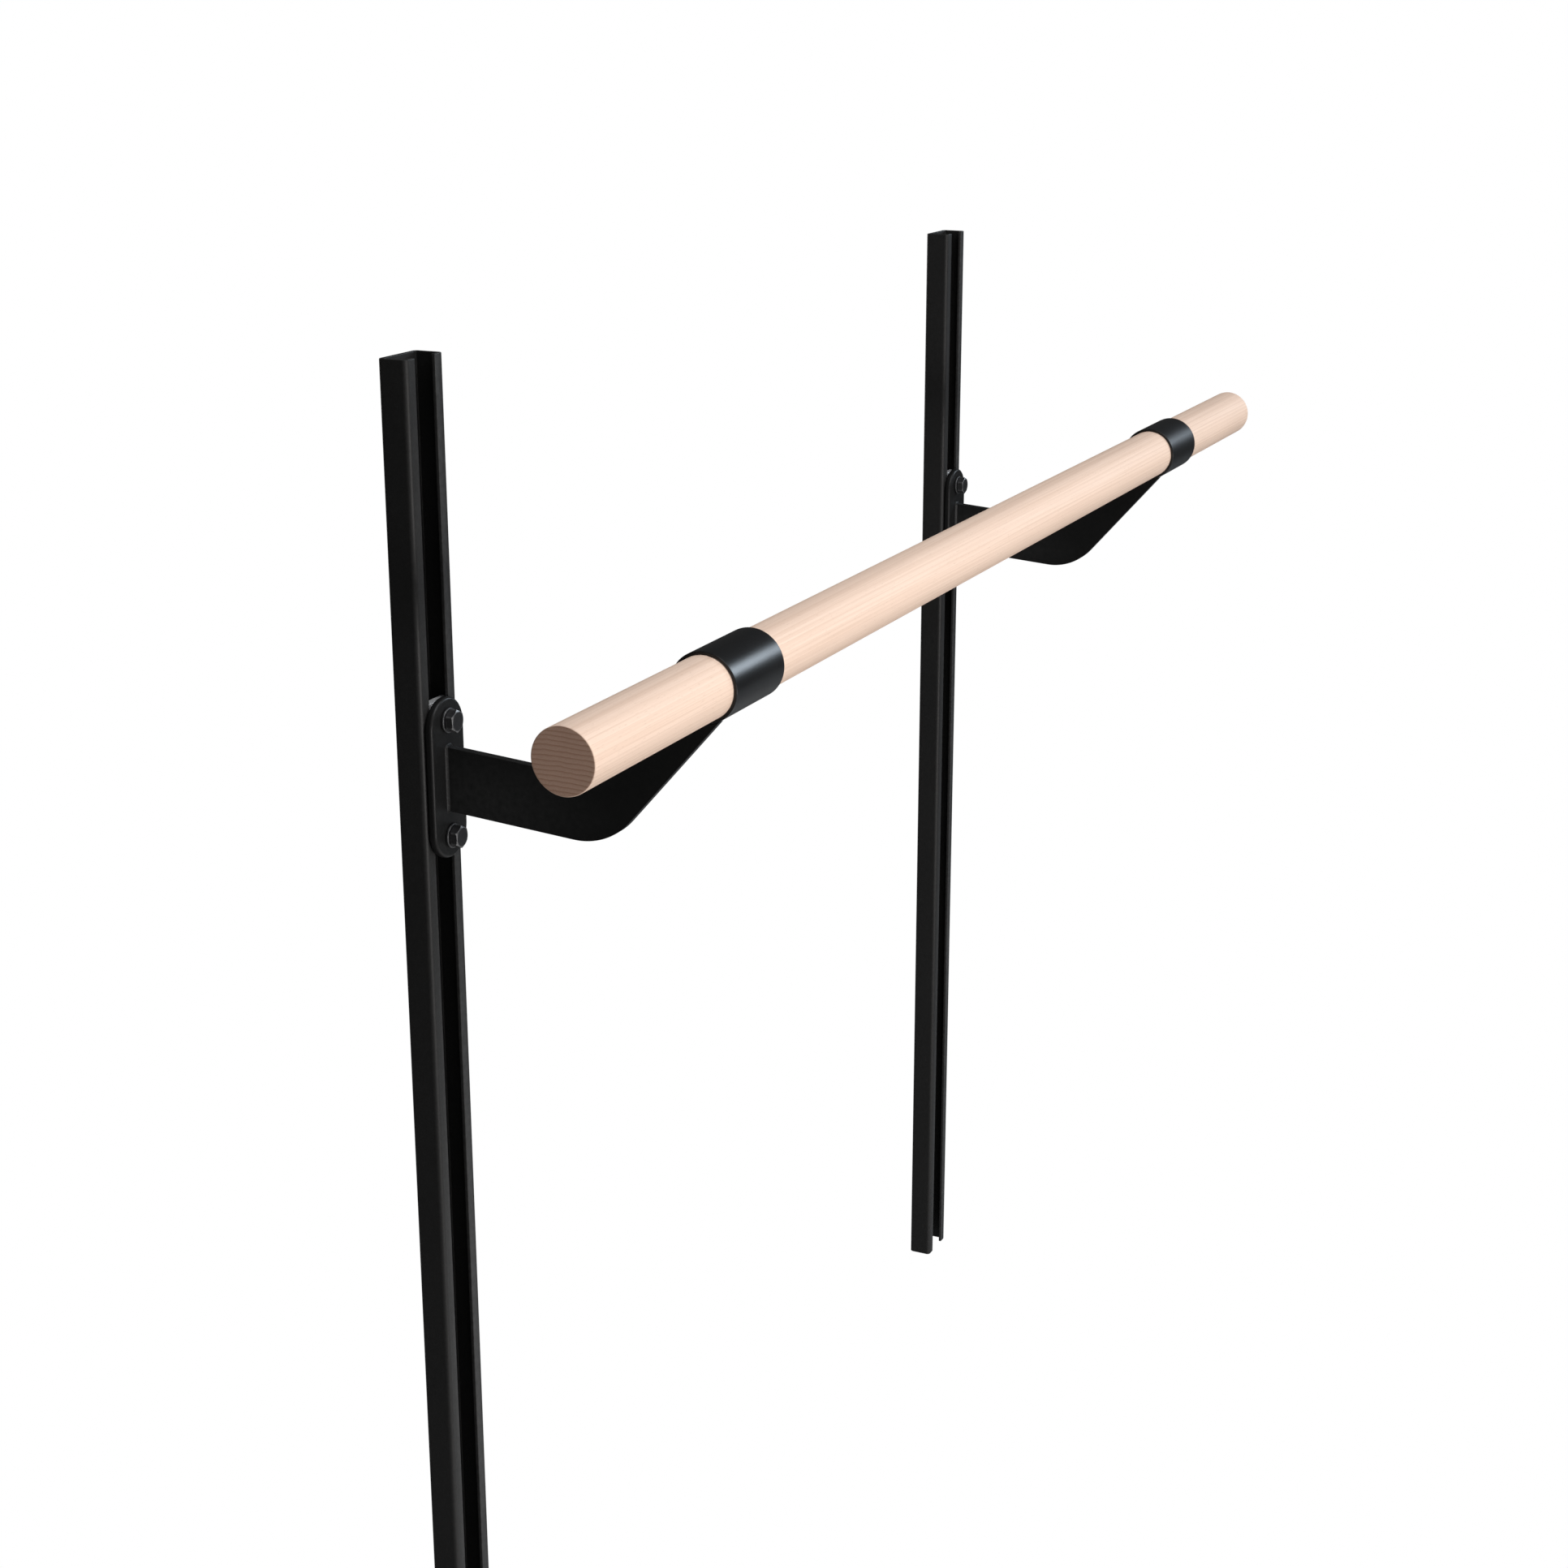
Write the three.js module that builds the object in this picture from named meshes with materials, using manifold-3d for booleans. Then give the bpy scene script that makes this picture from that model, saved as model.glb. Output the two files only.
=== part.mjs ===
// A wall-mounted ballet barre whose height can be set. Two steel channels stand upright on the
// wall. A welded bracket is clamped to each channel by two bolts that screw into nuts inside it,
// and the round wooden barre passes through the collars at the brackets' ends.
//
// Millimetres. +X runs along the barre, -Y points out from the wall into the room, +Z is up.
// The origin lies on the wall plane, midway between the channels and at half their height.

import * as THREE from "three";
import { mergeVertices } from "three/addons/utils/BufferGeometryUtils.js";
import Module from "manifold-3d";

const wasm = await Module();
wasm.setup();

// Clearance kept between pieces that touch on the real object.
const GAP = 0.3;

// Channels: sheet steel folded to a C, with its slotted side facing the room.
const RAIL = {
  spacing: 870,
  length: 1000,
  width: 41.3,
  depth: 20.6,
  sheet: 2.5,
  slot: 22,
  bend: 3.2,
  wallHole: 9,
  wallHoleHeights: [-400, 0, 400],
};

// Brackets: the height at which they are clamped, and their three welded parts.
const BRACKET_HEIGHT = 235.5;
const PLATE = { width: 38, height: 105, thickness: 5.5, boltHole: 9, boltSpacing: 76 };
const ARM = { thickness: 6, width: 42, dropDeg: 4, riseDeg: 49, innerElbow: 6 };
const COLLAR = { wall: 2, length: 66 };

// Barre: a turned wooden rod. Its axis is given from the wall and from the bracket's height.
const BARRE = { diameter: 40, fromWall: 207.5, aboveBracket: 80.3, left: -605, right: 685 };
const BARRE_EDGE = { left: 0.6, right: 2.5 };

// Fasteners: hexagon bolts and washers, nuts shaped to the channel, and barre lock screws.
const BOLT = { thread: 8, acrossFlats: 13, head: 5.5, tipFromWall: 7 };
const WASHER = { diameter: 16, thickness: 1.6 };
const NUT = { width: 34, height: 21.5, thickness: 6, corner: 8 };
const LOCK_SCREW = { thread: 6, length: 8, socket: 3, socketDepth: 3.5, fromArm: 45, angleDeg: -45 };

// Layers in front of a channel, as distances from the wall.
const plateBack = RAIL.depth + GAP;
const plateFront = plateBack + PLATE.thickness;
const washerBack = plateFront + GAP;
const washerFront = washerBack + WASHER.thickness;
const headBack = washerFront + GAP;

const barreRadius = BARRE.diameter / 2;
const collarBore = barreRadius + GAP;
const collarRadius = collarBore + COLLAR.wall;
const boltHeights = { upper: PLATE.boltSpacing / 2, lower: -PLATE.boltSpacing / 2 };

// ---------------------------------------------------------------------------------------------
// Solids

// A closed geometry as a manifold-3d solid.
function toSolid(geometry) {
  const bare = geometry.clone();
  bare.deleteAttribute("normal");
  bare.deleteAttribute("uv");
  const merged = mergeVertices(bare, 1e-4);
  const vertProperties = merged.attributes.position.array;
  const triVerts = new Uint32Array(merged.index.array);
  return new wasm.Manifold(new wasm.Mesh({ numProp: 3, vertProperties, triVerts }));
}

// A manifold-3d solid as a geometry that can be drawn.
function toGeometry(solid) {
  const mesh = solid.getMesh();
  const geometry = new THREE.BufferGeometry();
  geometry.setAttribute("position", new THREE.BufferAttribute(mesh.vertProperties, 3));
  geometry.setIndex(new THREE.BufferAttribute(mesh.triVerts, 1));
  geometry.computeVertexNormals();
  return geometry;
}

// The geometry with each of the tools cut away.
function cut(geometry, ...tools) {
  return toGeometry(tools.reduce((rest, tool) => rest.subtract(toSolid(tool)), toSolid(geometry)));
}

// Points along straight runs between corners, with each inner corner rounded to the radius.
function roundedRun(corners, radius, steps) {
  const points = [corners[0]];
  for (let i = 1; i < corners.length - 1; i++) {
    const corner = corners[i];
    const back = corners[i - 1].clone().sub(corner).normalize();
    const on = corners[i + 1].clone().sub(corner).normalize();
    const half = Math.acos(back.dot(on)) / 2;
    const toCentre = back.clone().add(on).setLength(radius / Math.sin(half));
    const centre = corner.clone().add(toCentre);
    const start = corner.clone().addScaledVector(back, radius / Math.tan(half)).sub(centre);
    const turn = Math.sign(on.cross(back)) * (Math.PI - 2 * half);
    for (let step = 0; step <= steps; step++) {
      const spoke = start.clone().rotateAround(new THREE.Vector2(), (turn * step) / steps);
      points.push(centre.clone().add(spoke));
    }
  }
  points.push(corners.at(-1));
  return points;
}

// An outline extruded straight up from the XY plane.
function extrude(shape, depth, curveSegments = 12) {
  return new THREE.ExtrudeGeometry(shape, { depth, bevelEnabled: false, curveSegments });
}

// An outline drawn facing the room, in X and Z, extruded from one distance off the wall to another.
function extrudeFromWall(shape, near, far, curveSegments = 12) {
  return extrude(shape, far - near, curveSegments).rotateX(Math.PI / 2).translate(0, -near, 0);
}

// A round rod that points away from the wall, from one distance off it to another.
function rodFromWall(radius, near, far, segments = 32) {
  const rod = new THREE.CylinderGeometry(radius, radius, far - near, segments);
  return rod.translate(0, -(near + far) / 2, 0);
}

// A profile of [radius, height] points turned about the Y axis.
function turned(profile, segments) {
  const points = profile.map(([radius, height]) => new THREE.Vector2(radius, height));
  return new THREE.LatheGeometry(points, segments);
}

// ---------------------------------------------------------------------------------------------
// Pieces

// The channel's section is one folded strip: web, two sides, and the two lips beside the slot.
function railGeometry() {
  const side = RAIL.width / 2;
  const lip = RAIL.slot / 2;
  const strip = (inset) => {
    const halfStrip = [
      new THREE.Vector2(lip, inset - RAIL.depth),
      new THREE.Vector2(side - inset, inset - RAIL.depth),
      new THREE.Vector2(side - inset, -inset),
    ];
    const mirrored = halfStrip.map(({ x, y }) => new THREE.Vector2(-x, y)).reverse();
    return roundedRun([...halfStrip, ...mirrored], RAIL.bend - inset, 5);
  };
  const outline = [...strip(0), ...strip(RAIL.sheet).reverse()];
  const channel = extrude(new THREE.Shape(outline), RAIL.length).translate(0, 0, -RAIL.length / 2);
  const holes = RAIL.wallHoleHeights.map((height) =>
    rodFromWall(RAIL.wallHole / 2, -1, RAIL.sheet + 1).translate(0, 0, height),
  );
  return cut(channel, ...holes);
}

// The base plate has full-round ends and a hole for each bolt.
function plateGeometry() {
  const radius = PLATE.width / 2;
  const toEnd = PLATE.height / 2 - radius;
  const outline = new THREE.Shape();
  outline.absarc(0, toEnd, radius, 0, Math.PI);
  outline.absarc(0, -toEnd, radius, Math.PI, 2 * Math.PI);
  const holes = Object.values(boltHeights).map((height) =>
    rodFromWall(PLATE.boltHole / 2, plateBack - 1, plateFront + 1).translate(0, 0, height),
  );
  return cut(extrudeFromWall(outline, plateBack, plateFront, 24), ...holes);
}

// The arm is a strip of steel on edge. It drops slightly from the plate to a rounded elbow, then
// rises towards the barre's axis, where its end is hollowed out to fit the collar.
function armGeometry() {
  const drop = Math.tan(THREE.MathUtils.degToRad(ARM.dropDeg));
  const rise = Math.tan(THREE.MathUtils.degToRad(ARM.riseDeg));
  const root = new THREE.Vector2(plateFront + GAP, 0);
  const barre = new THREE.Vector2(BARRE.fromWall, BARRE.aboveBracket);
  const elbowOut = (rise * barre.x - barre.y + drop * root.x) / (rise + drop);
  const elbow = new THREE.Vector2(elbowOut, -drop * (elbowOut - root.x));
  const half = ARM.width / 2;
  const lean = THREE.MathUtils.degToRad(ARM.riseDeg - ARM.dropDeg) / 2;
  const bend = THREE.MathUtils.degToRad(ARM.riseDeg + ARM.dropDeg) / 2;
  const toEdge = new THREE.Vector2(-Math.sin(lean), Math.cos(lean)).multiplyScalar(half / Math.cos(bend));
  const across = new THREE.Vector2(-rise, 1).setLength(half);
  const edge = (sign, radius) => {
    const start = new THREE.Vector2(root.x, (sign * half) / Math.cos(Math.atan(drop)));
    const corner = elbow.clone().addScaledVector(toEdge, sign);
    return roundedRun([start, corner, barre.clone().addScaledVector(across, sign)], radius, 10);
  };
  const outline = [...edge(1, ARM.innerElbow), ...edge(-1, ARM.innerElbow + ARM.width).reverse()];
  const strip = extrude(new THREE.Shape(outline.reverse()), ARM.thickness);
  strip.rotateX(Math.PI / 2).rotateZ(-Math.PI / 2).translate(ARM.thickness / 2, 0, 0);
  const seat = new THREE.CylinderGeometry(collarRadius + GAP, collarRadius + GAP, 3 * ARM.thickness, 96);
  seat.rotateZ(Math.PI / 2).translate(0, -barre.x, barre.y);
  return cut(strip, seat);
}

// The collar is a short tube along X, with its near rim flush with the arm's left side.
function collarGeometry() {
  const half = COLLAR.length / 2;
  const ease = 0.4;
  const tube = turned(
    [
      [collarBore, -half],
      [collarRadius - ease, -half],
      [collarRadius, -half + ease],
      [collarRadius, half - ease],
      [collarRadius - ease, half],
      [collarBore, half],
      [collarBore, -half],
    ],
    96,
  );
  tube.rotateZ(-Math.PI / 2).translate(half - ARM.thickness / 2, 0, 0);
  const hole = new THREE.CylinderGeometry(1, 1, collarRadius, 24);
  const holeRadius = LOCK_SCREW.thread / 2 + GAP;
  hole.scale(holeRadius, 1, holeRadius).translate(0, collarRadius, 0);
  return cut(tube, placeOnCollar(hole));
}

// A hexagon bolt: a chamfered head with a corner upwards, and a shank that reaches into its nut.
function boltGeometry() {
  const corner = BOLT.acrossFlats / Math.sqrt(3);
  const headFront = headBack + BOLT.head;
  const hexagon = new THREE.CylinderGeometry(corner, corner, BOLT.head, 6);
  hexagon.translate(0, -(headBack + headFront) / 2, 0);
  const chamfered = turned(
    [
      [0, -headFront],
      [BOLT.acrossFlats / 2 - 0.4, -headFront],
      [corner + 0.3, -headFront + 1.2],
      [corner + 0.3, -headBack + 1],
      [0, -headBack + 1],
    ],
    48,
  );
  const shank = rodFromWall(BOLT.thread / 2, BOLT.tipFromWall, headBack + BOLT.head / 2);
  const head = toSolid(hexagon).intersect(toSolid(chamfered));
  return toGeometry(head.add(toSolid(shank)));
}

function washerGeometry() {
  const bore = BOLT.thread / 2 + GAP;
  const rim = rodFromWall(WASHER.diameter / 2, washerBack, washerFront, 48);
  return cut(rim, rodFromWall(bore, washerBack - 1, washerFront + 1));
}

// A channel nut: it slips in through the slot and is turned by 90 degrees behind the lips, so two
// opposite corners are rounded.
function nutGeometry() {
  const front = RAIL.depth - RAIL.sheet - GAP;
  const half = { x: NUT.width / 2, z: NUT.height / 2 };
  const face = new THREE.Shape();
  face.moveTo(-half.x, -half.z);
  face.lineTo(half.x - NUT.corner, -half.z);
  face.absarc(half.x - NUT.corner, -half.z + NUT.corner, NUT.corner, -Math.PI / 2, 0);
  face.lineTo(half.x, half.z);
  face.lineTo(-half.x + NUT.corner, half.z);
  face.absarc(-half.x + NUT.corner, half.z - NUT.corner, NUT.corner, Math.PI / 2, Math.PI);
  const threadHole = rodFromWall(BOLT.thread / 2 + GAP, front - NUT.thickness - 1, front + 1);
  return cut(extrudeFromWall(face, front - NUT.thickness, front, 6), threadHole);
}

// The barre's two ends are cut square. The left edge is barely eased, the right one is rounder.
function barreGeometry() {
  const profile = [
    [0, BARRE.left],
    [barreRadius - BARRE_EDGE.left, BARRE.left],
    [barreRadius, BARRE.left + BARRE_EDGE.left],
  ];
  for (let degrees = 0; degrees <= 90; degrees += 22.5) {
    const angle = THREE.MathUtils.degToRad(degrees);
    const radius = barreRadius - BARRE_EDGE.right * (1 - Math.cos(angle));
    profile.push([radius, BARRE.right - BARRE_EDGE.right * (1 - Math.sin(angle))]);
  }
  profile.push([0, BARRE.right]);
  return turned(profile, 96).rotateZ(-Math.PI / 2);
}

// A socket set screw that bears on the barre through the collar's wall.
function lockScrewGeometry() {
  const radius = LOCK_SCREW.thread / 2;
  const tip = barreRadius + GAP;
  const outer = tip + LOCK_SCREW.length;
  const body = turned(
    [
      [0, tip],
      [radius - 0.8, tip],
      [radius, tip + 0.8],
      [radius, outer],
      [0, outer],
    ],
    24,
  );
  const socketRadius = LOCK_SCREW.socket / Math.sqrt(3);
  const socket = new THREE.CylinderGeometry(socketRadius, socketRadius, 2 * LOCK_SCREW.socketDepth, 6);
  socket.translate(0, outer, 0);
  return cut(placeOnCollar(body), placeOnCollar(socket));
}

// Turns a shape that stands on the +Y axis to the lock screw's place round the collar: from +Y
// towards the wall by the screw's angle, and along the collar by its distance from the arm.
function placeOnCollar(geometry) {
  const angle = THREE.MathUtils.degToRad(LOCK_SCREW.angleDeg);
  return geometry.rotateX(angle).translate(LOCK_SCREW.fromArm, 0, 0);
}

// ---------------------------------------------------------------------------------------------
// Materials and assembly

const blackPaint = { color: 0x17191b, roughness: 0.45, metalness: 0.1 };
const blackOxide = { color: 0x1b1c1e, roughness: 0.4, metalness: 0.6 };
const zinc = { color: 0xc9ccd0, roughness: 0.35, metalness: 0.9 };
const beech = { color: 0xe9cfb4, roughness: 0.5, metalness: 0 };

function piece(name, geometry, finish) {
  const mesh = new THREE.Mesh(geometry, new THREE.MeshStandardMaterial(finish));
  mesh.name = name;
  return mesh;
}

// One set of fasteners at a bolt's height on the bracket.
function fasteners(side, level) {
  const group = new THREE.Group();
  group.position.z = boltHeights[level];
  group.add(
    piece(`${side}_${level}_bolt`, boltGeometry(), blackOxide),
    piece(`${side}_${level}_washer`, washerGeometry(), blackOxide),
    piece(`${side}_${level}_channel_nut`, nutGeometry(), zinc),
  );
  return group;
}

// One bracket, drawn about the middle of its base plate at the wall plane.
function bracket(side) {
  const group = new THREE.Group();
  group.position.z = BRACKET_HEIGHT;
  const barreEnd = new THREE.Group();
  barreEnd.position.set(0, -BARRE.fromWall, BARRE.aboveBracket);
  barreEnd.add(
    piece(`${side}_collar`, collarGeometry(), blackPaint),
    piece(`${side}_barre_lock_screw`, lockScrewGeometry(), blackOxide),
  );
  group.add(
    piece(`${side}_base_plate`, plateGeometry(), blackPaint),
    piece(`${side}_arm`, armGeometry(), blackPaint),
    barreEnd,
    fasteners(side, "upper"),
    fasteners(side, "lower"),
  );
  return group;
}

function balletBarre() {
  const group = new THREE.Group();
  for (const [side, sign] of [["left", -1], ["right", 1]]) {
    const station = new THREE.Group();
    station.position.x = (sign * RAIL.spacing) / 2;
    station.add(piece(`${side}_rail`, railGeometry(), blackPaint), bracket(side));
    group.add(station);
  }
  const barre = piece("barre", barreGeometry(), beech);
  barre.position.set(0, -BARRE.fromWall, BRACKET_HEIGHT + BARRE.aboveBracket);
  group.add(barre);
  return group;
}

export default balletBarre();
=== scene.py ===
"""The looks of a wall-mounted ballet barre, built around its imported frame.

Metres, in the frame's own axes: +X along the barre, -Y out from the wall into the room, +Z up.
"""

import math

import bmesh
import bpy
from mathutils import Matrix, Vector


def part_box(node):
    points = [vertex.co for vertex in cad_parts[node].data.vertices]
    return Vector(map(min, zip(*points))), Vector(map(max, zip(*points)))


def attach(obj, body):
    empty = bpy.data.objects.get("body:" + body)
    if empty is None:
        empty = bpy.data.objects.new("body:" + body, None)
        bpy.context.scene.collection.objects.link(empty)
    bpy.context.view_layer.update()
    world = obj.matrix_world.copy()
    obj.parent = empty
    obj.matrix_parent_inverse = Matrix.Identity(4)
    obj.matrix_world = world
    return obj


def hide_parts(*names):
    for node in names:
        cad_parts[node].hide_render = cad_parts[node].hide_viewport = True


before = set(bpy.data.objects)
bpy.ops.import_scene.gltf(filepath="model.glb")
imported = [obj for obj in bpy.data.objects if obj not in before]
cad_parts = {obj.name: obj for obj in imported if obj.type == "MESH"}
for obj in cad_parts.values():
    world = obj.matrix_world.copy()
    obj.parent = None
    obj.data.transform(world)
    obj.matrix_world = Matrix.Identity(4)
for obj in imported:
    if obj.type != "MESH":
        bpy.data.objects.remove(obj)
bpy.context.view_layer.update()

MM = 0.001
X, Y, Z = (Vector(row) for row in Matrix.Identity(3))
SIDES = ("left", "right")
LEVELS = ("upper", "lower")

# Channels: a folded strip of sheet steel with two flat lips.
SHEET = 2.5 * MM
SLOT = 22 * MM
OUTER_BEND = 3.2 * MM
WALL_HOLE = 9 * MM
WALL_HOLE_HEIGHTS = (-0.4, 0, 0.4)

# Brackets: the arm's strip, its two slopes, and the weld beads that hold it.
ARM_WIDTH = 42 * MM
ARM_DROP = math.radians(4)
ARM_RISE = math.radians(49)
INNER_ELBOW = 6 * MM
ROOT_WELD_LEG = 1.4 * MM
COLLAR_WELD_LEG = 2.6 * MM
COLLAR_WELD_SPREAD = math.radians(52)
SEAM_WELD_LEG = 1.3 * MM
SEAM_WELD_INSET = 0.8 * MM
WELD_RIPPLE = 1.7 * MM

# Fasteners: M8 bolts in channel nuts, M6 set screws in the collars.
BOLT_THREAD = 8 * MM
BOLT_PITCH = 1.25 * MM
BOLT_HOLE = 9 * MM
ACROSS_FLATS = 13 * MM
RUNNING_GAP = 0.3 * MM
NUT_CORNER = 8 * MM
SET_SCREW_THREAD = 6 * MM
SET_SCREW_PITCH = 1 * MM
SET_SCREW_SOCKET = 3 * MM
SET_SCREW_SOCKET_DEPTH = 3.5 * MM
SET_SCREW_LENGTH = 8 * MM
SET_SCREW_LEAN = math.radians(-45)

# The stage: a floor below the channels, and a camera to the left, in front and a little above.
FLOOR_HEIGHT = -0.78
LENS_MM, SENSOR_MM = 59.63, 36
CAMERA_PLACE = (-1.7615, -0.8805, 0.7174)
CAMERA_DOWN = math.radians(17.26)
CAMERA_TURN = math.radians(-64.89)


# ---------------------------------------------------------------------------------------------
# Reading the frame

def low(node):
    """The corner of the node's box with the least x, y and z."""
    return Vector(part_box(node)[0])


def high(node):
    """The corner of the node's box with the greatest x, y and z."""
    return Vector(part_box(node)[1])


def centre(node):
    return (low(node) + high(node)) / 2


# ---------------------------------------------------------------------------------------------
# Mesh tools

def rounded_run(corners, radius, steps):
    """Points along straight runs between 2-D corners, with the inner corners rounded."""
    points = [corners[0]]
    for before, corner, after in zip(corners, corners[1:], corners[2:]):
        back, on = (before - corner).normalized(), (after - corner).normalized()
        half = back.angle(on) / 2
        middle = corner + (back + on).normalized() * radius / math.sin(half)
        spoke = corner + back * radius / math.tan(half) - middle
        turn = math.copysign(math.pi - 2 * half, on.x * back.y - on.y * back.x)
        for step in range(steps + 1):
            points.append(middle + Matrix.Rotation(turn * step / steps, 2) @ spoke)
    return points + [corners[-1]]


def arc(middle, radius, start, end, steps):
    """2-D points on a circle from one angle to another."""
    angles = (start + (end - start) * step / steps for step in range(steps + 1))
    return [middle + Vector((math.cos(a), math.sin(a))) * radius for a in angles]


def prism(outline, push):
    """A closed solid: the 3-D outline and the same outline moved by push."""
    mesh = bmesh.new()
    near = [mesh.verts.new(point) for point in outline]
    far = [mesh.verts.new(point + push) for point in outline]
    mesh.faces.new(near)
    mesh.faces.new(far)
    count = len(outline)
    for i in range(count):
        j = (i + 1) % count
        mesh.faces.new((near[i], near[j], far[j], far[i]))
    bmesh.ops.recalc_face_normals(mesh, faces=mesh.faces)
    return mesh


def revolved(rings, origin, axis, start, steps):
    """A solid round an axis. Each ring is a function from an angle to a radius and a height, and
    the first and last rings are poles with no radius. Angle 0 points along start."""
    mesh = bmesh.new()
    across = axis.cross(start)
    spokes = [2 * math.pi * step / steps for step in range(steps)]

    def point(ring, angle):
        radius, height = ring(angle)
        return origin + axis * height + (start * math.cos(angle) + across * math.sin(angle)) * radius

    loops = [[mesh.verts.new(point(ring, angle)) for angle in spokes] for ring in rings[1:-1]]
    for lower, upper in zip(loops, loops[1:]):
        for i in range(steps):
            j = (i + 1) % steps
            mesh.faces.new((lower[i], lower[j], upper[j], upper[i]))
    for ring, loop in ((rings[0], loops[0]), (rings[-1], loops[-1])):
        pole = mesh.verts.new(point(ring, 0))
        for i in range(steps):
            mesh.faces.new((loop[i], loop[(i + 1) % steps], pole))
    bmesh.ops.recalc_face_normals(mesh, faces=mesh.faces)
    return mesh


def tube(profile, origin, axis, start, steps):
    """A ring-shaped solid: a closed profile of (radius, height) points turned round an axis."""
    mesh = bmesh.new()
    across = axis.cross(start)
    loops = []
    for step in range(steps):
        angle = 2 * math.pi * step / steps
        spoke = start * math.cos(angle) + across * math.sin(angle)
        loops.append([mesh.verts.new(origin + axis * h + spoke * r) for r, h in profile])
    count = len(profile)
    for here, there in zip(loops, loops[1:] + loops[:1]):
        for i in range(count):
            j = (i + 1) % count
            mesh.faces.new((here[i], here[j], there[j], there[i]))
    bmesh.ops.recalc_face_normals(mesh, faces=mesh.faces)
    return mesh


def rounded_section(inner, outer, low_end, high_end, edge, steps):
    """The (radius, height) outline of a tube's wall, with its four edges rounded."""
    corners = [
        Vector((inner, (low_end + high_end) / 2)),
        Vector((inner, low_end)),
        Vector((outer, low_end)),
        Vector((outer, high_end)),
        Vector((inner, high_end)),
        Vector((inner, (low_end + high_end) / 2)),
    ]
    return [tuple(point) for point in rounded_run(corners, edge, steps)[:-1]]


def to_object(name, mesh):
    data = bpy.data.meshes.new(name)
    mesh.to_mesh(data)
    mesh.free()
    made = bpy.data.objects.new(name, data)
    bpy.context.scene.collection.objects.link(made)
    return made


def settle(piece):
    """Turns what the piece's modifiers make of it into its own mesh."""
    bpy.context.view_layer.update()
    evaluated = piece.evaluated_get(bpy.context.evaluated_depsgraph_get())
    shaped = bpy.data.meshes.new_from_object(evaluated)
    piece.modifiers.clear()
    piece.data = shaped


def drill(piece, mesh):
    """Cuts the tool's solid out of the piece."""
    tool = to_object("tool", mesh)
    cut = piece.modifiers.new("cut", "BOOLEAN")
    cut.operation = "DIFFERENCE"
    cut.solver = "EXACT"
    cut.object = tool
    settle(piece)
    bpy.data.objects.remove(tool)


def cylinder(radius, start, end):
    """A round cutting tool between two points."""
    axis = (end - start).normalized()
    side = axis.orthogonal().normalized()
    length = (end - start).length
    rings = [lambda a: (0, 0), lambda a: (radius, 0), lambda a: (radius, length), lambda a: (0, length)]
    return revolved(rings, start, axis, side, 48)


def ease_edges(piece, width, segments):
    """Rounds every sharp edge, and shades the rest smooth."""
    bevel = piece.modifiers.new("eased", "BEVEL")
    bevel.width = width
    bevel.segments = segments
    bevel.limit_method = "ANGLE"
    bevel.angle_limit = math.radians(35)
    settle(piece)
    shade(piece)


def shade(piece, sharp_angle=40):
    """Smooth shading with flat faces kept flat."""
    piece.data.shade_smooth()
    piece.data.set_sharp_from_angle(angle=math.radians(sharp_angle))
    weighted = piece.modifiers.new("flat faces", "WEIGHTED_NORMAL")
    weighted.keep_sharp = True


def finish_piece(piece, material, body, node):
    """Gives the piece its material and its body, and hides the CAD part it stands for."""
    piece.data.materials.clear()
    piece.data.materials.append(material)
    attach(piece, body)
    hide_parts(node)


def finish_weld(piece, material, side):
    """A bead stands for no CAD node: it takes its bracket's paint and rides on it."""
    piece.data.materials.append(material)
    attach(piece, f"{side}_bracket")


# ---------------------------------------------------------------------------------------------
# Materials

def new_material(name):
    """A node material with nothing in it but a Principled shader, and a helper that adds nodes."""
    material = bpy.data.materials.new(name)
    material.use_nodes = True
    tree = material.node_tree
    shader = tree.nodes["Principled BSDF"]

    def add(kind, inputs=(), **settings):
        node = tree.nodes.new(kind)
        for key, value in settings.items():
            setattr(node, key, value)
        for key, value in dict(inputs).items():
            if isinstance(value, bpy.types.NodeSocket):
                tree.links.new(value, node.inputs[key])
            else:
                node.inputs[key].default_value = value
        return node

    def link(output, key):
        tree.links.new(output, shader.inputs[key])

    return material, shader, add, link


def ramp(add, factor, stops):
    """A colour ramp whose stops are (position, colour or grey)."""
    node = add("ShaderNodeValToRGB", {"Fac": factor})
    elements = node.color_ramp.elements
    while len(elements) < len(stops):
        elements.new(0.5)
    for element, (position, value) in zip(elements, stops):
        element.position = position
        element.color = (*value, 1) if isinstance(value, tuple) else (value, value, value, 1)
    return node.outputs["Color"]


def noise_at(add, vector, scale, detail=2, roughness=0.5):
    values = {"Vector": vector, "Scale": scale, "Detail": detail, "Roughness": roughness}
    return add("ShaderNodeTexNoise", values).outputs["Fac"]


def mix(add, factor, first, second):
    node = add("ShaderNodeMix", data_type="RGBA")
    for socket, value in zip((node.inputs[0], node.inputs[6], node.inputs[7]), (factor, first, second)):
        if isinstance(value, bpy.types.NodeSocket):
            node.id_data.links.new(value, socket)
        elif isinstance(value, tuple):
            socket.default_value = (*value, 1)
        else:
            socket.default_value = value
    return node.outputs[2]


def maths(add, operation, first, second=0.5):
    return add("ShaderNodeMath", {0: first, 1: second}, operation=operation).outputs[0]


def spread(add, factor, from_zero, to_one):
    """A value that runs between two ends as the factor runs from 0 to 1."""
    inputs = {"Value": factor, "To Min": from_zero, "To Max": to_one}
    return add("ShaderNodeMapRange", inputs).outputs["Result"]


def stretched(add, place, scale):
    """The place scaled along each axis, so that a pattern read there is drawn out or squeezed."""
    return add("ShaderNodeMapping", {"Vector": place, "Scale": scale}).outputs["Vector"]


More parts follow.
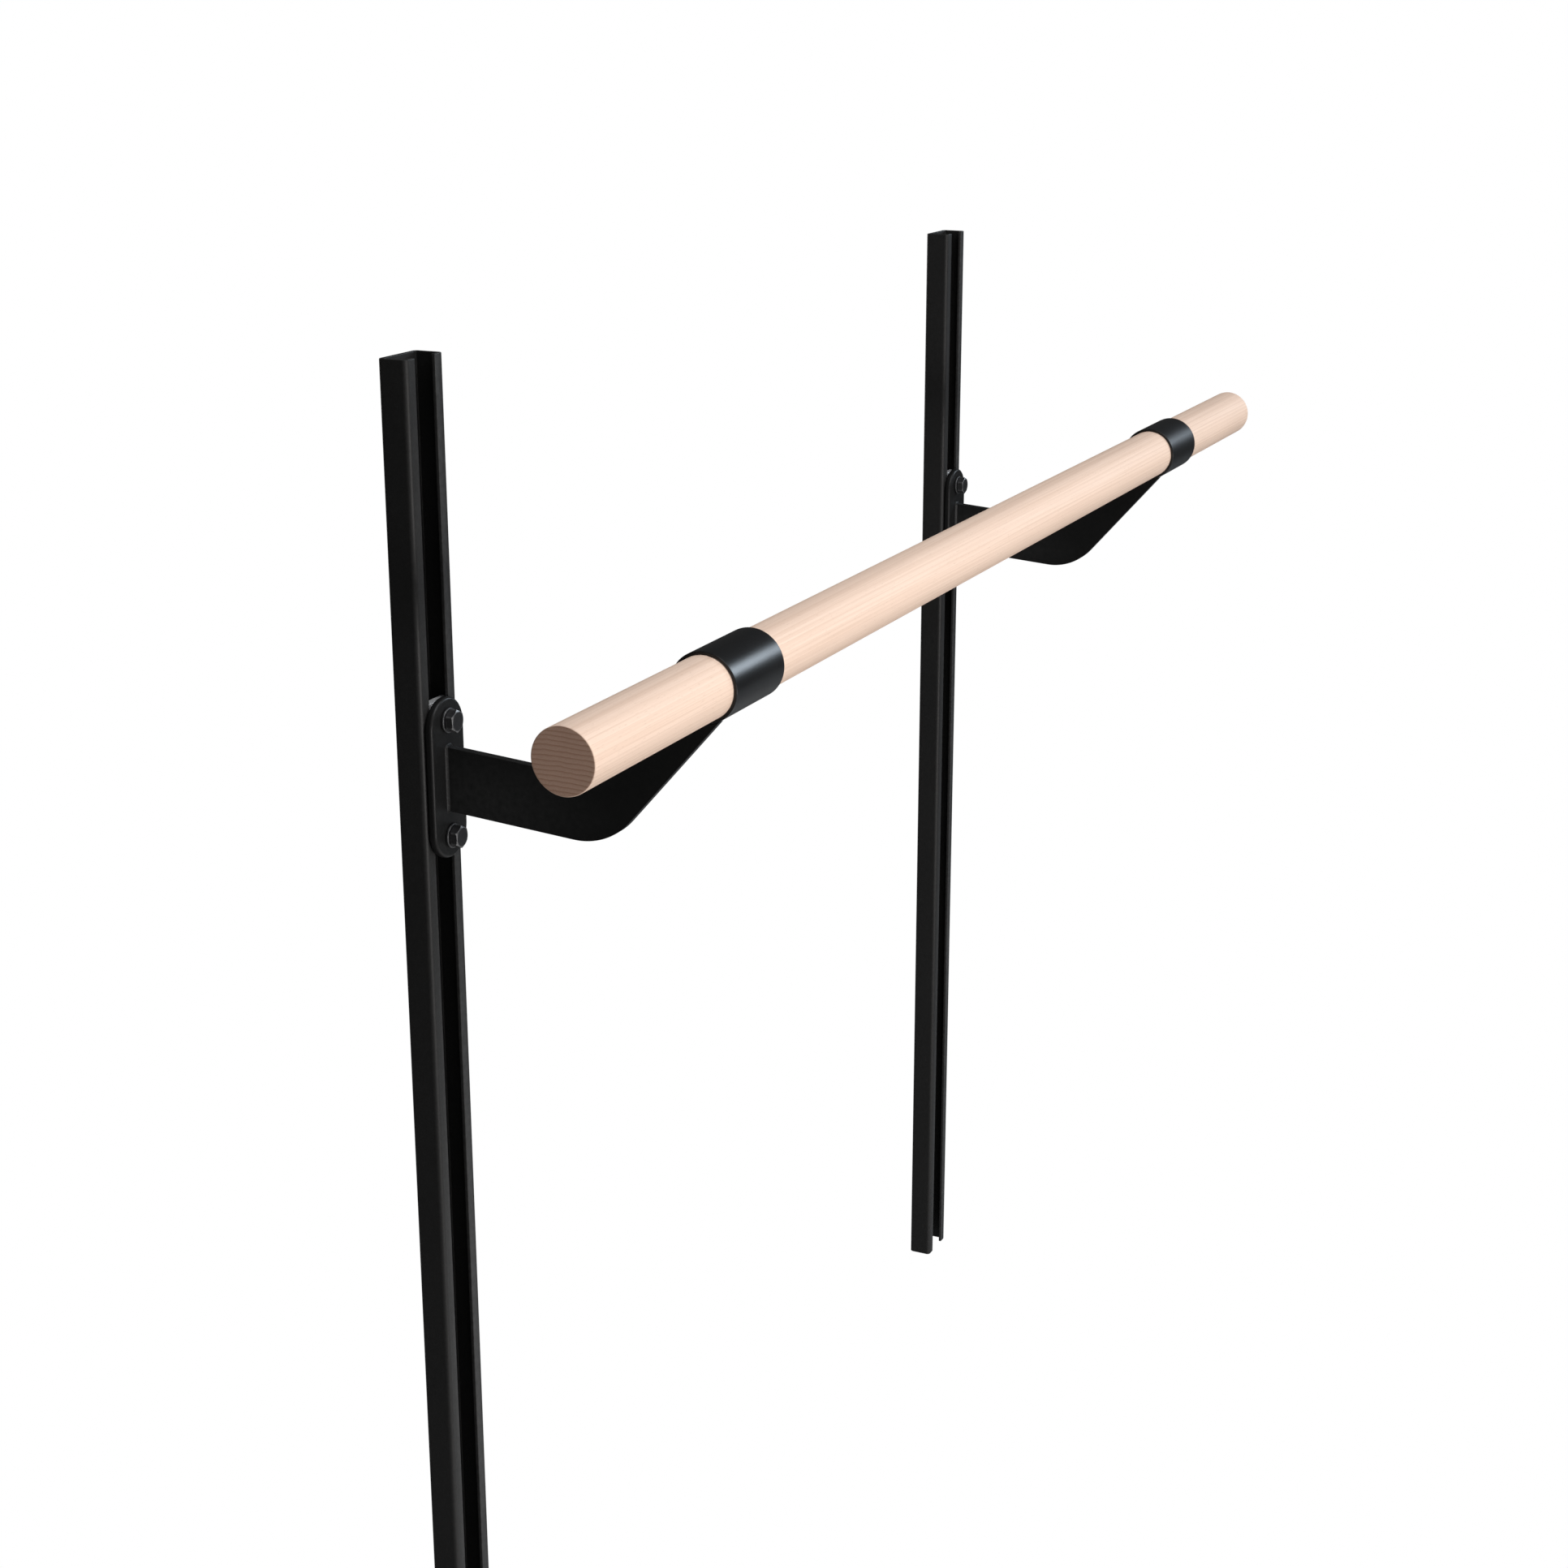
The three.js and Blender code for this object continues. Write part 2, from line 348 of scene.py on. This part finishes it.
def bumped(add, link, height, depth):
    bump = add("ShaderNodeBump", {"Height": height, "Distance": depth})
    link(bump.outputs["Normal"], "Normal")


def coated_steel(name, colour, dust_wear_and_highlight, roughness, peel, specular):
    """Black powder coat: orange-peel skin, faint mottling, dust, and paler edges: scuffs and a painted
    highlight.
    """
    material, shader, add, link = new_material(name)
    place = add("ShaderNodeTexCoord").outputs["Object"]
    mottle = noise_at(add, place, 14, detail=4)
    speckle = noise_at(add, place, 2600, detail=1)
    # Paler edges: partly scuffed paint, partly a painted highlight along the edges.
    edge = ramp(add, add("ShaderNodeNewGeometry").outputs["Pointiness"], [(0.52, 0.0), (0.6, 1.0)])
    edge_wear_and_highlight = maths(add, "MULTIPLY", edge, noise_at(add, place, 260, detail=3))
    dark = tuple(value * 0.7 for value in colour)
    base = mix(add, mottle, dark, colour)
    base = mix(add, ramp(add, speckle, [(0.55, 0.0), (0.8, 0.5)]), base, dust_wear_and_highlight)
    link(mix(add, edge_wear_and_highlight, base, dust_wear_and_highlight), "Base Color")
    link(spread(add, mottle, roughness - 0.06, roughness + 0.08), "Roughness")
    bumped(add, link, noise_at(add, place, 850, detail=2, roughness=0.4), peel)
    shader.inputs["Specular IOR Level"].default_value = specular
    return material


def oxide_steel(name):
    """Blackened fasteners: dark metal with fine scratches, and corners painted brighter: wear and a painted
    highlight.
    """
    material, shader, add, link = new_material(name)
    place = add("ShaderNodeTexCoord").outputs["Object"]
    scratch = noise_at(add, stretched(add, place, (300, 2600, 500)), 1, detail=3)
    # Brighter corners: edge wear pushed up into a painted highlight on rims and chamfers.
    edge = ramp(add, add("ShaderNodeNewGeometry").outputs["Pointiness"], [(0.51, 0.0), (0.6, 1.0)])
    rubbed_wear_and_highlight = maths(add, "MULTIPLY", edge, noise_at(add, place, 900, detail=2))
    base = mix(add, scratch, (0.012, 0.012, 0.013), (0.035, 0.035, 0.037))
    link(mix(add, rubbed_wear_and_highlight, base, (0.45, 0.45, 0.46)), "Base Color")
    link(spread(add, scratch, 0.3, 0.52), "Roughness")
    bumped(add, link, scratch, 0.03 * MM)
    shader.inputs["Metallic"].default_value = 0.6
    return material


def zinc_plate(name):
    """Bright zinc plate: pale metal with a crystalline mottle, draw lines and a bitten surface."""
    material, shader, add, link = new_material(name)
    place = add("ShaderNodeTexCoord").outputs["Object"]
    crystals = add("ShaderNodeTexVoronoi", {"Vector": place, "Scale": 420}).outputs["Distance"]
    drawn = noise_at(add, stretched(add, place, (90, 90, 3200)), 1, detail=3)
    base = mix(add, crystals, (0.8, 0.81, 0.83), (0.93, 0.93, 0.94))
    link(mix(add, drawn, base, (0.84, 0.84, 0.83)), "Base Color")
    link(spread(add, drawn, 0.3, 0.45), "Roughness")
    bites = noise_at(add, place, 700, detail=1)
    bumped(add, link, maths(add, "ADD", bites, drawn), 0.4 * MM)
    shader.inputs["Metallic"].default_value = 0.7
    return material


def barre_wood(name, middle):
    """Pale turned hardwood: growth rings cut along the rod, fibre streaks, flecks and end grain."""
    material, shader, add, link = new_material(name)
    coordinates = add("ShaderNodeTexCoord")
    place = coordinates.outputs["Object"]

    # Growth rings are shells round a pith that lies well below the rod and runs along it.
    pith = middle - Z * 0.3
    from_pith = add("ShaderNodeMapping", {"Vector": place, "Location": -pith}).outputs["Vector"]
    slow = stretched(add, from_pith, (0.02, 1, 1))
    rings = add(
        "ShaderNodeTexWave",
        {"Vector": slow, "Scale": 112, "Distortion": 3.4, "Detail": 3, "Detail Scale": 0.6},
        wave_type="RINGS",
        rings_direction="X",
        wave_profile="SAW",
    ).outputs["Fac"]
    latewood = ramp(add, rings, [(0.0, 0.0), (0.55, 0.12), (0.86, 0.75), (0.97, 1.0), (1.0, 0.1)])

    # Fibres, broad board colour and short flecks all run along the rod.
    fibres = noise_at(add, stretched(add, place, (5, 900, 900)), 1, detail=5, roughness=0.6)
    board = noise_at(add, stretched(add, place, (1.5, 60, 60)), 1, detail=3)
    short = noise_at(add, stretched(add, place, (210, 1900, 1900)), 1, detail=1)
    flecks = ramp(add, short, [(0.66, 0.0), (0.74, 1.0)])

    long_grain = mix(add, board, (0.8, 0.6, 0.475), (0.86, 0.665, 0.54))
    long_grain = mix(add, maths(add, "MULTIPLY", latewood, 0.3), long_grain, (0.62, 0.42, 0.3))
    long_grain = mix(add, ramp(add, fibres, [(0.35, 0.42), (0.6, 0.0)]), long_grain, (0.66, 0.46, 0.34))
    long_grain = mix(add, maths(add, "MULTIPLY", flecks, 0.3), long_grain, (0.5, 0.32, 0.22))

    pores = ramp(add, noise_at(add, place, 2400, detail=2), [(0.38, 1.0), (0.5, 0.0)])
    end_grain = mix(add, latewood, (0.63, 0.42, 0.315), (0.42, 0.235, 0.17))
    end_grain = mix(add, maths(add, "MULTIPLY", board, 0.35), end_grain, (0.45, 0.25, 0.18))
    end_grain = mix(add, maths(add, "MULTIPLY", pores, 0.4), end_grain, (0.2, 0.12, 0.08))
    normal = add("ShaderNodeSeparateXYZ", {"Vector": coordinates.outputs["Normal"]}).outputs["X"]
    on_end = ramp(add, maths(add, "ABSOLUTE", normal), [(0.75, 0.0), (0.95, 1.0)])
    link(mix(add, on_end, long_grain, end_grain), "Base Color")

    link(spread(add, fibres, 0.74, 0.6), "Roughness")
    relief = maths(add, "ADD", fibres, maths(add, "MULTIPLY", latewood, 0.35))
    bumped(add, link, relief, 0.05 * MM)
    shader.inputs["Specular IOR Level"].default_value = 0.25
    return material


# ---------------------------------------------------------------------------------------------
# Pieces

def rail(side, material):
    """The channel: a strip folded into a web, two sides and the lips beside the slot."""
    node = f"{side}_rail"
    bottom, top, middle = low(node), high(node), centre(node)
    half, depth = (top.x - bottom.x) / 2, top.y - bottom.y

    def strip(inset):
        run = [
            Vector((SLOT / 2, inset - depth)),
            Vector((half - inset, inset - depth)),
            Vector((half - inset, -inset)),
        ]
        mirrored = [Vector((-corner.x, corner.y)) for corner in reversed(run)]
        return rounded_run(run + mirrored, OUTER_BEND - inset, 8)

    section = strip(0) + strip(SHEET)[::-1]
    outline = [Vector((middle.x + point.x, point.y, bottom.z)) for point in section]
    piece = to_object(f"{side}_rail_channel", prism(outline, Z * (top.z - bottom.z)))
    for height in WALL_HOLE_HEIGHTS:
        hole = Vector((middle.x, 0, height))
        drill(piece, cylinder(WALL_HOLE / 2, hole + Y * SHEET, hole - Y * 2 * SHEET))
    ease_edges(piece, 0.5 * MM, segments=3)
    finish_piece(piece, material, "rails", node)


def base_plate(side, material):
    """The bracket's foot: a plate with full-round ends and two bolt holes."""
    node = f"{side}_base_plate"
    bottom, top, middle = low(node), high(node), centre(node)
    radius = (top.x - bottom.x) / 2
    outline = arc(Vector((middle.x, top.z - radius)), radius, 0, math.pi, 40)
    outline += arc(Vector((middle.x, bottom.z + radius)), radius, math.pi, 2 * math.pi, 40)
    front = [Vector((point.x, bottom.y, point.y)) for point in outline]
    piece = to_object(f"{side}_base_plate_steel", prism(front, Y * (top.y - bottom.y)))
    for level in LEVELS:
        hole = centre(f"{side}_{level}_bolt")
        hole.y = middle.y
        drill(piece, cylinder(BOLT_HOLE / 2, hole - Y * 10 * MM, hole + Y * 10 * MM))
    ease_edges(piece, 2 * MM, segments=5)
    finish_piece(piece, material, f"{side}_bracket", node)


def arm_outline(side):
    """The arm's 2-D outline as (distance from the wall, height), from the root round to it again,
    and the direction from the barre's axis back down the arm."""
    root = Vector((-high(f"{side}_arm").y, centre(f"{side}_base_plate").z))
    barre_axis = Vector((-centre("barre").y, centre("barre").z))
    drop, rise = math.tan(ARM_DROP), math.tan(ARM_RISE)
    elbow_out = (rise * barre_axis.x - barre_axis.y + drop * root.x + root.y) / (rise + drop)
    elbow = Vector((elbow_out, root.y - drop * (elbow_out - root.x)))
    half = ARM_WIDTH / 2
    lean, bend = (ARM_RISE - ARM_DROP) / 2, (ARM_RISE + ARM_DROP) / 2
    to_edge = Vector((-math.sin(lean), math.cos(lean))) * half / math.cos(bend)
    along = Vector((math.cos(ARM_RISE), math.sin(ARM_RISE)))
    across = Vector((-along.y, along.x))
    seat = (high(f"{side}_collar").z - low(f"{side}_collar").z) / 2 + RUNNING_GAP
    reach = math.sqrt(seat * seat - half * half)

    def edge(sign, radius):
        start = root + Vector((0, sign * half / math.cos(ARM_DROP)))
        end = barre_axis + across * sign * half - along * reach
        return rounded_run([start, elbow + to_edge * sign, end], radius, 16)

    upper, lower = edge(1, INNER_ELBOW), edge(-1, INNER_ELBOW + ARM_WIDTH)
    back = math.atan2(-along.y, -along.x)
    half_seat = math.asin(half / seat)
    seat_arc = arc(barre_axis, seat, back - half_seat, back + half_seat, 32)
    return upper + seat_arc[1:-1] + lower[::-1], back


def arm(side, material):
    """The swan-neck arm: a strip on edge, hollowed out at its end to fit the collar."""
    node = f"{side}_arm"
    outline, _ = arm_outline(side)
    left = [Vector((low(node).x, -point.x, point.y)) for point in outline]
    piece = to_object(f"{side}_arm_steel", prism(left, X * (high(node).x - low(node).x)))
    ease_edges(piece, 0.5 * MM, segments=3)
    finish_piece(piece, material, f"{side}_bracket", node)


def weld_bead(name, path, leg, closed):
    """A rippled fillet bead, painted over, that thins out towards the ends of an open path. Each
    station of the path is (corner point, direction along the first surface, direction along the
    second), and the bead fills the corner between the two."""
    rows = 9
    fade = 12
    flatness = 0.92
    mesh = bmesh.new()
    loops = []
    run = 0
    for index, (corner, first, second) in enumerate(path):
        run += (corner - path[index - 1][0]).length if index else 0
        from_end = min(index, len(path) - 1 - index) / fade
        size = leg if closed else leg * min(1, 0.15 + math.sqrt(from_end))
        loop = []
        for row in range(rows):
            angle = math.pi / 2 * row / (rows - 1)
            lag = 0.5 * leg * math.sin(2 * angle)
            ripple = abs(math.sin(math.pi * (run + lag) / WELD_RIPPLE))
            bulge = (math.cos(angle) ** flatness + math.sin(angle) ** flatness) ** (-1 / flatness)
            reach = size * bulge * (0.96 + 0.05 * ripple)
            loop.append(mesh.verts.new(corner + (first * math.cos(angle) + second * math.sin(angle)) * reach))
        loop.append(mesh.verts.new(corner - (first + second) * 0.2 * MM))
        loops.append(loop)
    pairs = list(zip(loops, loops[1:] + loops[:1] if closed else loops[1:]))
    count = rows + 1
    for here, there in pairs:
        for i in range(count):
            j = (i + 1) % count
            mesh.faces.new((here[i], here[j], there[j], there[i]))
    if not closed:
        mesh.faces.new(loops[0])
        mesh.faces.new(loops[-1])
    bmesh.ops.recalc_face_normals(mesh, faces=mesh.faces)
    piece = to_object(name, mesh)
    shade(piece, sharp_angle=60)
    return piece


def fill_straights(points, outs, step):
    """Adds stations along the long gaps of a closed 2-D path, with the outward directions kept."""
    filled = []
    for here, there, out in zip(points, points[1:] + points[:1], outs):
        count = max(1, round((there - here).length / step))
        filled += [(here.lerp(there, i / count), out) for i in range(count)]
    return filled


def root_weld(side, material):
    """The bead all round the arm's root, on the base plate."""
    node = f"{side}_arm"
    plate_front = low(f"{side}_base_plate").y
    middle = Vector((centre(node).x, centre(f"{side}_base_plate").z))
    half = Vector(((high(node).x - low(node).x) / 2, ARM_WIDTH / 2 / math.cos(ARM_DROP)))
    corner_radius = 1 * MM
    path = []
    for quarter in range(4):
        sign = Vector((1 if quarter in (0, 3) else -1, 1 if quarter in (0, 1) else -1))
        turn = middle + Vector((sign.x * (half.x - corner_radius), sign.y * (half.y - corner_radius)))
        start = quarter * math.pi / 2
        path += [(point, turn) for point in arc(turn, corner_radius, start, start + math.pi / 2, 8)]
    stations = fill_straights([point for point, _ in path], [(p - t).normalized() for p, t in path], 0.3 * MM)
    bead = [
        (Vector((point.x, plate_front, point.y)), Vector((out.x, 0, out.y)), -Y) for point, out in stations
    ]
    finish_weld(weld_bead(f"{side}_arm_root_weld", bead, ROOT_WELD_LEG, closed=True), material, side)


def collar_welds(side, material):
    """Two beads where the arm's hollowed end meets the collar: a fillet on the right face of the
    arm, and a low one across the flush left faces."""
    node = f"{side}_collar"
    axis = centre("barre")
    radius = (high(node).z - low(node).z) / 2
    _, back = arm_outline(side)
    steps = 150
    right, left = [], []
    for step in range(steps + 1):
        angle = back + COLLAR_WELD_SPREAD * (2 * step / steps - 1)
        spoke = Vector((0, -math.cos(angle), math.sin(angle)))
        foot = Vector((0, axis.y, axis.z)) + spoke * radius
        right.append((foot + X * high(f"{side}_arm").x, X, spoke))
        seam = foot + spoke * RUNNING_GAP / 2 + X * (low(f"{side}_arm").x + SEAM_WELD_INSET)
        left.append((seam, (spoke - X).normalized(), (-spoke - X).normalized()))
    for name, path, leg in (("fillet", right, COLLAR_WELD_LEG), ("seam", left, SEAM_WELD_LEG)):
        finish_weld(weld_bead(f"{side}_collar_{name}_weld", path, leg, closed=False), material, side)


def set_screw_axis():
    return Vector((0, math.cos(SET_SCREW_LEAN), math.sin(SET_SCREW_LEAN)))


def collar(side, material):
    """The tube round the barre, with softened rims and a hole for its set screw."""
    node = f"{side}_collar"
    outer = (high(node).z - low(node).z) / 2
    inner = (high("barre").z - low("barre").z) / 2 + RUNNING_GAP
    axis = centre("barre")
    origin = Vector((0, axis.y, axis.z))
    section = rounded_section(inner, outer, low(node).x, high(node).x, 0.55 * MM, 5)
    piece = to_object(f"{side}_collar_tube", tube(section, origin, X, Z, 144))
    screw = origin + X * centre(f"{side}_barre_lock_screw").x
    inside, outside = screw + set_screw_axis() * inner * 0.8, screw + set_screw_axis() * outer * 1.3
    drill(piece, cylinder(SET_SCREW_THREAD / 2 + RUNNING_GAP, inside, outside))
    shade(piece, sharp_angle=35)
    finish_piece(piece, material, f"{side}_bracket", node)


def hexagon_radius(angle, across_flats):
    """The distance from a hexagon's middle to its outline; a corner lies at angle 0."""
    return across_flats / 2 / math.cos(angle % (math.pi / 3) - math.pi / 6)


def thread_rings(major, pitch, start, end, chamfer):
    """Rings of a helical thread from one height to another, with a chamfer at both ends."""
    depth = 0.61 * pitch
    count = round((end - start) / pitch * 8)

    def ring(height):
        taper = major - depth - chamfer + min(height - start, end - height)

        def at(angle):
            phase = (height / pitch + angle / (2 * math.pi)) % 1
            crest = min(1, max(0, abs(2 * phase - 1) * 1.3 - 0.12))
            return min(major - depth * crest, max(taper, major - depth * 1.4)), height

        return at

    return [ring(start + (end - start) * i / count) for i in range(count + 1)]


def bolt(side, level, material):
    """A hexagon bolt: threaded shank, washer face, and a head chamfered by a cone."""
    node = f"{side}_{level}_bolt"
    middle = centre(node)
    tip, front = -high(node).y, -low(node).y
    back = -low(f"{side}_{level}_washer").y + RUNNING_GAP
    face = 0.47 * ACROSS_FLATS
    slope = math.tan(math.radians(27))

    def head_edge(angle):
        radius = hexagon_radius(angle, ACROSS_FLATS)
        return radius, front - max(0, radius - face) * slope

    def foot_edge(angle):
        radius = hexagon_radius(angle, ACROSS_FLATS)
        return radius, back + 0.35 * MM + max(0, radius - ACROSS_FLATS / 2) * slope * 0.6

    def beside(edge, step):
        """A ring on the flats, close to an edge, so that the wear and painted highlight stay at the edge."""
        return lambda angle: (edge(angle)[0], edge(angle)[1] + step)

    rings = [lambda a: (0, tip), lambda a: (BOLT_THREAD * 0.36, tip)]
    rings += thread_rings(BOLT_THREAD / 2, BOLT_PITCH, tip, back, 0.4 * MM)
    rings += [
        lambda a: (ACROSS_FLATS * 0.46, back),
        lambda a: (ACROSS_FLATS * 0.46, back + 0.35 * MM),
        foot_edge,
        beside(foot_edge, 0.35 * MM),
        beside(head_edge, -0.35 * MM),
        head_edge,
        lambda a: (face, front),
        lambda a: (face - 0.5 * MM, front),
        lambda a: (0, front),
    ]
    mesh = revolved(rings, Vector((middle.x, 0, middle.z)), -Y, Z, 72)
    piece = to_object(f"{side}_{level}_bolt_steel", mesh)
    shade(piece, sharp_angle=24)
    finish_piece(piece, material, f"{side}_bracket", node)


def washer(side, level, material):
    """A flat washer with its four edges rounded."""
    node = f"{side}_{level}_washer"
    outer = (high(node).z - low(node).z) / 2
    inner = BOLT_THREAD / 2 + RUNNING_GAP
    section = rounded_section(inner, outer, -high(node).y, -low(node).y, 0.6 * MM, 4)
    origin = Vector((centre(node).x, 0, centre(node).z))
    piece = to_object(f"{side}_{level}_washer_steel", tube(section, origin, -Y, Z, 72))
    shade(piece, sharp_angle=35)
    finish_piece(piece, material, f"{side}_bracket", node)


def channel_nut(side, level, material):
    """The nut inside the channel: a plate with two rounded corners and a plain hole for its bolt."""
    node = f"{side}_{level}_channel_nut"
    bottom, top, middle = low(node), high(node), centre(node)
    corner = Vector((top.x - NUT_CORNER, bottom.z + NUT_CORNER))
    opposite = Vector((bottom.x + NUT_CORNER, top.z - NUT_CORNER))
    outline = [Vector((bottom.x, bottom.z))] + arc(corner, NUT_CORNER, -math.pi / 2, 0, 12)
    outline += [Vector((top.x, top.z))] + arc(opposite, NUT_CORNER, math.pi / 2, math.pi, 12)
    front = [Vector((point.x, bottom.y, point.y)) for point in outline]
    piece = to_object(f"{side}_{level}_channel_nut_steel", prism(front, Y * (top.y - bottom.y)))
    drill(piece, cylinder(BOLT_THREAD / 2 + RUNNING_GAP, middle - Y * 10 * MM, middle + Y * 10 * MM))
    ease_edges(piece, 0.8 * MM, segments=3)
    finish_piece(piece, material, f"{side}_bracket", node)


def lock_screw(side, material):
    """A socket set screw on the collar's hidden rear underside."""
    node = f"{side}_barre_lock_screw"
    axis = centre("barre")
    origin = Vector((centre(node).x, axis.y, axis.z))
    tip = (high("barre").z - low("barre").z) / 2 + RUNNING_GAP
    outer = tip + SET_SCREW_LENGTH
    socket_floor = outer - SET_SCREW_SOCKET_DEPTH
    rings = [lambda a: (0, tip), lambda a: (SET_SCREW_THREAD * 0.33, tip)]
    rings += thread_rings(SET_SCREW_THREAD / 2, SET_SCREW_PITCH, tip, outer, 0.4 * MM)
    rings += [
        lambda a: (hexagon_radius(a, SET_SCREW_SOCKET) + 0.2 * MM, outer),
        lambda a: (hexagon_radius(a, SET_SCREW_SOCKET), outer - 0.2 * MM),
        lambda a: (hexagon_radius(a, SET_SCREW_SOCKET), socket_floor),
        lambda a: (0, socket_floor - 0.5 * MM),
    ]
    mesh = revolved(rings, origin, set_screw_axis(), X, 48)
    piece = to_object(f"{side}_barre_lock_screw_steel", mesh)
    shade(piece, sharp_angle=24)
    finish_piece(piece, material, f"{side}_bracket", node)


def barre(material):
    """The turned rod: its left end sawn square and barely eased, its right end rounder."""
    left, right = low("barre").x, high("barre").x
    radius = (high("barre").z - low("barre").z) / 2
    axis = centre("barre")

    def eased(end, inward, edge, steps):
        angles = [math.pi / 2 * i / steps for i in range(steps + 1)]
        return [
            (radius - edge * (1 - math.sin(a)), end + inward * edge * (1 - math.cos(a))) for a in angles
        ]

    profile = [(0, left), (radius - 1.5 * MM, left)] + eased(left, 1, 0.7 * MM, 4)
    ring_spacing = 30 * MM
    count = round((right - left) / ring_spacing)
    profile += [(radius, left + (right - left) * i / count) for i in range(1, count)]
    profile += eased(right, -1, 2.5 * MM, 8)[::-1] + [(radius * 0.8, right), (0, right)]
    rings = [lambda a, ring=ring: ring for ring in profile]
    mesh = revolved(rings, Vector((0, axis.y, axis.z)), X, Z, 144)
    piece = to_object("barre_rod", mesh)
    shade(piece, sharp_angle=60)
    finish_piece(piece, material, "barre", "barre")


# ---------------------------------------------------------------------------------------------
# Stage, light and camera

def show_white(nodes, links, lit, kind, output):
    """Keeps the lit shader for the light it gives, and shows the camera plain white instead."""
    shown = nodes.new(kind)
    shown.inputs["Color"].default_value = (1, 1, 1, 1)
    choose = nodes.new("ShaderNodeMixShader")
    links.new(nodes.new("ShaderNodeLightPath").outputs["Is Camera Ray"], choose.inputs[0])
    links.new(lit.outputs[0], choose.inputs[1])
    links.new(shown.outputs[0], choose.inputs[2])
    links.new(choose.outputs[0], nodes[output].inputs["Surface"])


def floor(height):
    """A plain white floor. It lights the object less than it shows, so black stays black."""
    mesh = bmesh.new()
    bmesh.ops.create_grid(mesh, x_segments=8, y_segments=8, size=60)
    plane = to_object("floor", mesh)
    plane.location.z = height
    material = bpy.data.materials.new("floor")
    material.use_nodes = True
    nodes, links = material.node_tree.nodes, material.node_tree.links
    pale = nodes["Principled BSDF"]
    pale.inputs["Base Color"].default_value = (0.32, 0.32, 0.32, 1)
    pale.inputs["Roughness"].default_value = 0.9
    show_white(nodes, links, pale, "ShaderNodeEmission", "Material Output")
    plane.data.materials.append(material)


def sky():
    """A white surround that gives a low, even light."""
    world = bpy.data.worlds.new("sky")
    bpy.context.scene.world = world
    world.use_nodes = True
    nodes, links = world.node_tree.nodes, world.node_tree.links
    light = nodes["Background"]
    light.inputs["Color"].default_value = (1, 1, 1, 1)
    light.inputs["Strength"].default_value = 0.05
    show_white(nodes, links, light, "ShaderNodeBackground", "World Output")


def softbox(name, place, aim, size, power, colour):
    """A soft rectangular lamp that isn't seen itself."""
    lamp = bpy.data.lights.new(name, "AREA")
    lamp.shape = "RECTANGLE"
    lamp.size, lamp.size_y = size
    lamp.energy = power
    lamp.color = colour
    holder = bpy.data.objects.new(name, lamp)
    holder.location = place
    holder.rotation_mode = "QUATERNION"
    holder.rotation_quaternion = (Vector(aim) - Vector(place)).to_track_quat("-Z", "Y")
    holder.visible_camera = False
    bpy.context.scene.collection.objects.link(holder)


def lamps():
    """A cool window that draws the collars' highlight, an overhead bank, and soft fills."""
    rod = centre("barre")
    warm = (1.0, 0.98, 0.96)
    softbox("window", (3.2, -2.0, 1.5), rod, (1.0, 1.0), 50, (0.78, 0.89, 1.0))
    softbox("overhead", (-0.4, -1.6, 2.4), rod, (2.0, 2.0), 65, (0.97, 0.98, 1.0))
    softbox("front", (-1.1, -3.0, -0.35), rod, (1.6, 0.6), 42, warm)
    softbox("floor_glow", (-0.1, -0.85, -0.75), (-0.1, -0.85, 1), (2.2, 0.9), 5, warm)
    softbox("left_fill", (-2.6, -1.6, 0.5), rod, (1.2, 1.2), 4, warm)
    softbox("back_fill", (1.4, 3.2, 0.9), rod, (2.4, 1.6), 45, warm)


def camera():
    data = bpy.data.cameras.new("camera")
    data.sensor_width = SENSOR_MM
    data.lens = LENS_MM
    holder = bpy.data.objects.new("camera", data)
    holder.location = CAMERA_PLACE
    holder.rotation_euler = (math.radians(90) - CAMERA_DOWN, 0, CAMERA_TURN)
    bpy.context.scene.collection.objects.link(holder)
    bpy.context.scene.camera = holder


# ---------------------------------------------------------------------------------------------
# Assembly

# Each paint's second colour serves its dust and scuffs and its painted edge highlight.
rail_paint = coated_steel(
    "rail_powder_coat", (0.014, 0.0137, 0.0135), (0.045, 0.045, 0.045), 0.44, 0.05 * MM, 0.22
)
bracket_paint = coated_steel(
    "bracket_powder_coat", (0.008, 0.008, 0.008), (0.03, 0.03, 0.03), 0.4, 0.03 * MM, 0.18
)
collar_paint = coated_steel(
    "collar_powder_coat", (0.009, 0.0093, 0.0097), (0.03, 0.031, 0.033), 0.33, 0.02 * MM, 0.28
)
fastener_steel = oxide_steel("black_oxide")
nut_steel = zinc_plate("zinc_plate")
wood = barre_wood("barre_hardwood", centre("barre"))

for side in SIDES:
    rail(side, rail_paint)
    base_plate(side, bracket_paint)
    arm(side, bracket_paint)
    root_weld(side, bracket_paint)
    collar(side, collar_paint)
    collar_welds(side, bracket_paint)
    lock_screw(side, fastener_steel)
    for level in LEVELS:
        bolt(side, level, fastener_steel)
        washer(side, level, fastener_steel)
        channel_nut(side, level, nut_steel)
barre(wood)

floor(FLOOR_HEIGHT)
sky()
lamps()
camera()
bpy.context.scene.view_settings.view_transform = "Standard"
